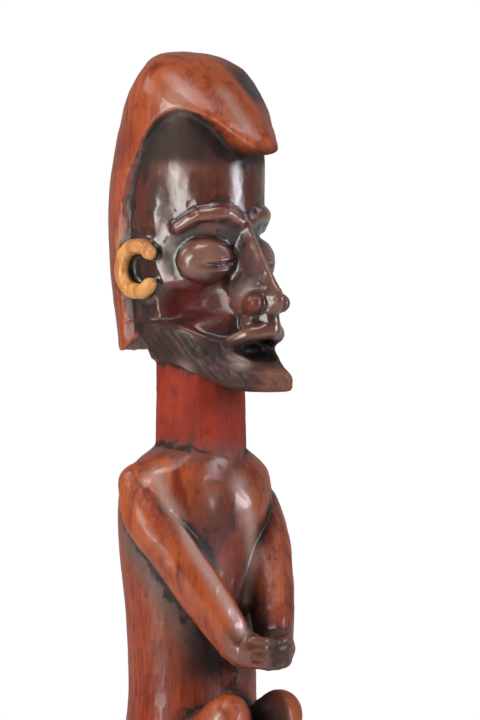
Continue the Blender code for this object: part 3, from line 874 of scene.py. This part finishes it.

# %% [markdown]
# Handling left some places glossy, and their pale colour is a painted highlight: the tops of the arms, the
# breast, the keel of the hair, and spots on the near cheek, jaw and knee. They stand in the photograph, so
# each is a place on the skin with how wide and how strong it is.

# %% Polished places with painted highlights
NEAR_ARM = [(-37.9, 12.2, 256.0), (-35.5, 17.0, 244.0), (-32.0, 21.5, 234.0), (-31.0, 28.8, 223.3),
            (-24.4, 39.7, 204.0), (-15.5, 50.0, 180.0)]
BREAST = [(5.0, 27.0, 252.0), (6.2, 28.5, 242.0), (14.8, 25.5, 222.6), (15.9, 25.4, 212.6),
          (10.3, 25.6, 193.0)]
KEEL_SIDE = [(-9.5, 30.0, 445.0), (-8.4, 39.7, 435.0), (-7.3, 47.2, 426.0)]
NEAR_ARM_WIDTH = 3.3
BREAST_WIDTH = 4.2
KEEL_SIDE_WIDTH = 3.6
POLISH_AND_HIGHLIGHT_PLACES = [
    ((-37.9, 12.2, 256.0), 5.0, 1.0),
    ((5.0, 27.0, 250.0), 6.0, 1.0),
    ((-29.7, 18.0, 441.0), 8.0, 0.6),
    ((-28.0, 46.0, 135.0), 5.0, 0.7),
    ((-25.6, 20.7, 308.5), 5.0, 0.6),
    ((-13.5, 46.7, 313.0), 4.5, 0.6),
    ((-7.5, 44.0, 345.0), 5.0, 0.5),
    ((-22.0, 32.0, 364.0), 7.0, 0.3),
    ((-8.0, 37.0, 387.0), 4.0, 0.4),
]


def near_line(line, where, width):
    """1 on a line over the skin, falling to nothing within about twice the width."""
    return np.exp(-(distance_to(line, where)[0] / width) ** 2)


def near_places(places, where):
    """The strongest of several round spots, each (place, width, strength)."""
    spots = [strength * np.exp(-(np.linalg.norm(where - place, axis=1) / width) ** 2)
             for place, width, strength in places]
    return np.maximum.reduce(spots)


polish_and_painted_highlight = np.maximum.reduce([
    near_line(bend(NEAR_ARM), skin, NEAR_ARM_WIDTH),
    near_line(bend(BREAST), skin, BREAST_WIDTH),
    0.7 * near_line(bend(KEEL_SIDE), skin, KEEL_SIDE_WIDTH),
    near_places(POLISH_AND_HIGHLIGHT_PLACES, skin),
])
print("rubbed places:", len(POLISH_AND_HIGHLIGHT_PLACES) + 3)

# %% [markdown]
# Painted shadow is laid on in black under the beak of hair, behind the hands, between the knees and under the
# chin, and soot and old oil blacken the near jaw. Painted shade darkens the far side of the keel, the belly
# and the near half of the breast. Dust lies dull on the flanks under the arms and at the foot of the neck,
# with painted shade in it.

# %% Painted shadow, soot and dust
# Painted shadow behind the hands and under the chin; soot and old oil on the near jaw.
SHADOW_AND_SOOT_PLACES = [
    ((2.0, 58.0, 169.0), 12.0, 0.85),
    ((-12.0, 23.5, 165.0), 11.0, 1.0),
    ((-26.2, 9.6, 344.5), 6.0, 0.5),
    ((-26.5, 24.5, 322.0), 12.0, 0.4),
    ((-1.7, 25.3, 297.0), 8.0, 0.5),
]
BREAST_SHADE = [((-13.0, 26.0, 236.0), 17.0, 0.7)]
UNDER_ARM = [(40.5, -5.8, 223.6), (37.3, 7.0, 208.0), (30.5, 14.2, 193.4), (19.7, 20.7, 174.4)]
UNDER_ARM_WIDTH = 8.5
NECK_FOOT = 267.0

# Painted shadow: black on the far knee's near side, between the knees.
between_knees = smooth_step(side, -14.0, -10.0) * (1 - smooth_step(side, 12.0, 17.0))
between_knees = between_knees * smooth_step(forward, 22.0, 30.0) * np.exp(-((up - 128.0) / 24.0) ** 4)
# Painted shadow under the beak of hair.
beak_under = smooth_step(forward, 33.0, 38.0)
beak_under = beak_under * (1 - smooth_step(up, 415.0, 420.0)) * smooth_step(up, 404.0, 410.0)
painted_shadow_and_soot = np.maximum.reduce([between_knees, 0.8 * beak_under, near_places(SHADOW_AND_SOOT_PLACES, skin)])
# Painted shade: the far side of the keel, turned away from the lamps, is darkened.
keel_far_side = smooth_step(side, 1.0, 9.0) * smooth_step(forward, -14.0, 8.0)
keel_far_side = keel_far_side * np.exp(-((up - 450.0) / 13.0) ** 2)
# Painted shadow: the belly under the forearms is darkened.
belly = smooth_step(forward, 15.0, 21.0) * (1 - smooth_step(forward, 30.0, 35.0))
belly = belly * np.exp(-((up - 167.0) / 14.0) ** 4)

# Dust with painted shade: the flanks under the arms and the foot of the neck are greyed and darkened.
one_side = np.stack([apart, forward, up], axis=1)
under_arm = near_line(bend(UNDER_ARM), one_side, UNDER_ARM_WIDTH) * (1 - hands) * (1 - polish_and_painted_highlight)
neck_foot = np.exp(-((up - NECK_FOOT) / 5.0) ** 2) * (1 - smooth_step(from_neck, 27.0, 33.0))
print("soot on", round(float((painted_shadow_and_soot > 0.5).mean()), 3), "of the skin's points")

# %% [markdown]
# The regions and places are brought together into the few masks that the material reads. Each is kept on the
# mesh as an attribute, one number for each point.

# %% Masks for the material


def keep_mask(mesh, name, values):
    """Stores one number a point on the mesh."""
    layer = mesh.attributes.new(name, "FLOAT", "POINT")
    layer.data.foreach_set("value", np.clip(values, 0, 1).astype(np.float32))


# Dirt and painted shade darken the hollows, the beard is darker, a darker band lies under the arch of hair,
# and painted shade darkens the shut-in places, the belly, the far side of the keel and the near half of the
# breast.
dirt_and_painted_shade = smooth_step(broad_hollow, 0.05, 0.8) * 0.6 + smooth_step(fine_hollow, 0.02, 0.12) * 0.5
dirt_and_painted_shade = dirt_and_painted_shade * (1 - 0.8 * polish_and_painted_highlight) + smooth_step(shut, 0.35, 0.8) * 1.1 + 0.6 * beard * (1 - chin_tip)
dirt_and_painted_shade = dirt_and_painted_shade + 0.9 * under_arch + 1.2 * keel_far_side + 0.8 * belly
dirt_and_painted_shade = dirt_and_painted_shade + near_places(BREAST_SHADE, skin) * (1 - polish_and_painted_highlight)
wear = smooth_step(-broad_hollow, 0.25, 1.2) * (1 - smooth_step(shut, 0.1, 0.4)) * (1 - beard)

keep_mask(mesh, "patina", face_part + 0.85 * hands)
keep_mask(mesh, "ears", ears_part)
keep_mask(mesh, "red", np.maximum(neck_part, cheek))
keep_mask(mesh, "matt", np.maximum.reduce([neck_part, cheek, 0.9 * beard, under_arch, painted_shadow_and_soot]))
# The polished places also carry a painted highlight, and the black, dust and dirt masks carry painted shadow
# and shade.
keep_mask(mesh, "polish_and_painted_highlight", polish_and_painted_highlight)
keep_mask(mesh, "painted_shadow_and_soot", painted_shadow_and_soot)
keep_mask(mesh, "dust_and_painted_shade", under_arm + 0.6 * neck_foot)
keep_mask(mesh, "dirt_and_painted_shade", np.minimum(dirt_and_painted_shade, 1.0) * (1 - 0.9 * cheek) * (1 - 0.6 * ears_part))
keep_mask(mesh, "wear", np.maximum(wear, chin_tip))
print("masks kept:", [layer.name for layer in mesh.attributes if layer.data_type == "FLOAT"])

# %% [markdown]
# The wood is a dense red hardwood, oiled and handled for years. Its colours could be painted on a picture,
# but noise with features of a real size needs no picture, and the masks say where each finish is.
# These helpers add one kind of node each, so that the cells after them read like a list of coats.

# %% Helpers for the material
wood = bpy.data.materials.new("oiled_hardwood_with_handled_patina")
wood.use_nodes = True
tree = wood.node_tree
shader = tree.nodes["Principled BSDF"]
place = add(tree, "ShaderNodeTexCoord").outputs["Object"]


def grain(size_mm, length_mm, detail=3.0, roughness=0.55):
    """Noise with features size_mm across the grain and length_mm along it."""
    scaled = add(tree, "ShaderNodeMapping", {
        "Vector": place, "Scale": (1000 / size_mm, 1000 / size_mm, 1000 / length_mm)})
    return add(tree, "ShaderNodeTexNoise", {
        "Vector": scaled.outputs[0], "Scale": 1.0, "Detail": detail, "Roughness": roughness}).outputs["Fac"]


def spread(value, low, high, to_low=0.0, to_high=1.0):
    """The value taken from low..high to to_low..to_high, smoothly and clamped."""
    return add(tree, "ShaderNodeMapRange", {
        "Value": value, "From Min": low, "From Max": high, "To Min": to_low, "To Max": to_high},
        interpolation_type="SMOOTHSTEP").outputs[0]


def mix_colour(factor, a, b):
    """Two colours mixed by factor. Each may be a socket or an sRGB hex value."""
    node = tree.nodes.new("ShaderNodeMix")
    node.data_type = "RGBA"
    for socket, value in ((node.inputs[0], factor), (node.inputs[6], a), (node.inputs[7], b)):
        if isinstance(value, bpy.types.NodeSocket):
            tree.links.new(value, socket)
        else:
            socket.default_value = linear(value)
    return node.outputs[2]


def mix_number(factor, a, b):
    """Two numbers mixed by factor."""
    return add(tree, "ShaderNodeMix", {"Factor": factor, "A": a, "B": b}).outputs[0]


def maths(operation, a, b):
    """One sum on two values, clamped to 0..1."""
    return add(tree, "ShaderNodeMath", {0: a, 1: b}, operation=operation, use_clamp=True).outputs[0]


def mask(name):
    """A mask that was kept on the mesh."""
    return add(tree, "ShaderNodeAttribute", attribute_name=name).outputs["Fac"]


print("material helpers ready")

# %% [markdown]
# Grain runs up the block, so every pattern is stretched along Z: the figure of the wood, about 1.6 mm wide,
# its short dark pores, 0.5 mm wide and 9 mm long, and the broad clouds and stains that the oil left.

# %% Patterns
wood_figure = grain(1.6, 30)
pores = spread(grain(0.5, 9, 2.0), 0.56, 0.70)
clouds = grain(22, 40, 4.0)
stains = grain(7, 26, 5.0, 0.6)
fibres = spread(grain(0.7, 14, 2.0), 0.3, 0.7)
dirt_and_shade_amount = maths("MULTIPLY", mask("dirt_and_painted_shade"), spread(stains, 0.2, 0.55, 0.55, 1.0))
print("patterns: 5 of the wood and one of the dirt")

# %% [markdown]
# The colour goes on in the order of the real coats. First comes the bare wood, with its darker clouds and
# the paler worn places, redder on neck and cheeks. Over it lie the dark patina of the face and hands, and the
# pale ears. Last come the pores, dust and dirt with painted shade in them, the polish of hands with a painted
# highlight, and soot with painted shadow.

# %% Colour
BARE_WOOD = ("702611", "903b19")
DARK_CLOUDS = "56190d"
WORN_WOOD = "9c4a22"
RED_WOOD = ("7a2212", "902d17")
PATINA = ("36221e", "532d24")
PATINA_CLOUDS = "5e2319"
WORN_PATINA = "724938"
RED_CHEEK = "5c1108"
PALE_EAR = ("d29a58", "a8683a")
OPEN_PORE = "2a120c"
GREY_DUST_AND_SHADE = "5f4a43"
DIRT_AND_SHADE_COLOUR = "1c1311"
POLISH_AND_HIGHLIGHT_COLOUR = "a8897c"
SHADOW_AND_SOOT_BLACK = "120d0b"

wear, red = mask("wear"), mask("red")
colour = mix_colour(spread(wood_figure, 0.35, 0.65), *BARE_WOOD)
colour = mix_colour(spread(clouds, 0.42, 0.68, 0.0, 0.55), colour, DARK_CLOUDS)
colour = mix_colour(maths("MULTIPLY", wear, spread(stains, 0.35, 0.6)), colour, WORN_WOOD)
colour = mix_colour(red, colour, mix_colour(spread(clouds, 0.35, 0.65), *RED_WOOD))
face = mix_colour(spread(stains, 0.42, 0.62), *PATINA)
face = mix_colour(spread(clouds, 0.45, 0.6, 0.0, 0.6), face, PATINA_CLOUDS)
face = mix_colour(maths("MULTIPLY", wear, 0.7), face, WORN_PATINA)
face = mix_colour(red, face, RED_CHEEK)
colour = mix_colour(mask("patina"), colour, face)
colour = mix_colour(mask("ears"), colour, mix_colour(spread(stains, 0.4, 0.65), *PALE_EAR))
colour = mix_colour(maths("MULTIPLY", pores, 0.35), colour, OPEN_PORE)
# Dust and dirt carry painted shade, the polish a painted highlight, and the black a painted shadow.
colour = mix_colour(mask("dust_and_painted_shade"), colour, GREY_DUST_AND_SHADE)
colour = mix_colour(dirt_and_shade_amount, colour, DIRT_AND_SHADE_COLOUR)
colour = mix_colour(maths("MULTIPLY", mask("polish_and_painted_highlight"), 0.75), colour, POLISH_AND_HIGHLIGHT_COLOUR)
colour = mix_colour(maths("MULTIPLY", mask("painted_shadow_and_soot"), 0.9), colour, SHADOW_AND_SOOT_BLACK)
tree.links.new(colour, shader.inputs["Base Color"])
print("colour: 15 coats")

# %% [markdown]
# Oiled wood has a satin gloss, dirt, the painted shade and the reddened places are matt, and old oil lies on
# the face like a clear lacquer. Roughness alone can't give that last one, so a coat does: full on the patina
# and the polished places, thin elsewhere, none where it is matt. Pores and fibres are about 0.05 mm deep, so
# a bump map is enough for them.

# %% Gloss and pores
SATIN = (0.38, 0.52)
PATINA_ROUGHNESS = 0.3
MATT_ROUGHNESS = 0.72
DIRT_AND_SHADE_ROUGHNESS = 0.6
THIN_COAT = 0.3
COAT_ROUGHNESS = 0.24
WOOD_IOR = 1.36
FIBRE_DEPTH = 0.05 * MM
FIBRE_STRENGTH = 0.3

gloss = mix_number(mask("patina"), spread(stains, 0.35, 0.7, *SATIN), PATINA_ROUGHNESS)
gloss = mix_number(mask("matt"), gloss, MATT_ROUGHNESS)
gloss = mix_number(dirt_and_shade_amount, gloss, DIRT_AND_SHADE_ROUGHNESS)
tree.links.new(gloss, shader.inputs["Roughness"])
coat = mix_number(mask("patina"), THIN_COAT, 1.0)
coat = mix_number(mask("matt"), coat, 0.0)
coat = mix_number(mask("polish_and_painted_highlight"), coat, 1.0)
tree.links.new(coat, shader.inputs["Coat Weight"])
shader.inputs["Coat Roughness"].default_value = COAT_ROUGHNESS
shader.inputs["IOR"].default_value = WOOD_IOR

relief = maths("SUBTRACT", fibres, maths("MULTIPLY", pores, 0.6))
bump = add(tree, "ShaderNodeBump", {"Height": relief, "Strength": FIBRE_STRENGTH, "Distance": FIBRE_DEPTH})
tree.links.new(bump.outputs[0], shader.inputs["Normal"])
figure.data.materials.clear()
figure.data.materials.append(wood)
print("material has", len(tree.nodes), "nodes")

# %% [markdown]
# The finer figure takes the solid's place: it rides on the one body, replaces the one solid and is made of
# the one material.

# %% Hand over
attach(figure, "root")
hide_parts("figure")
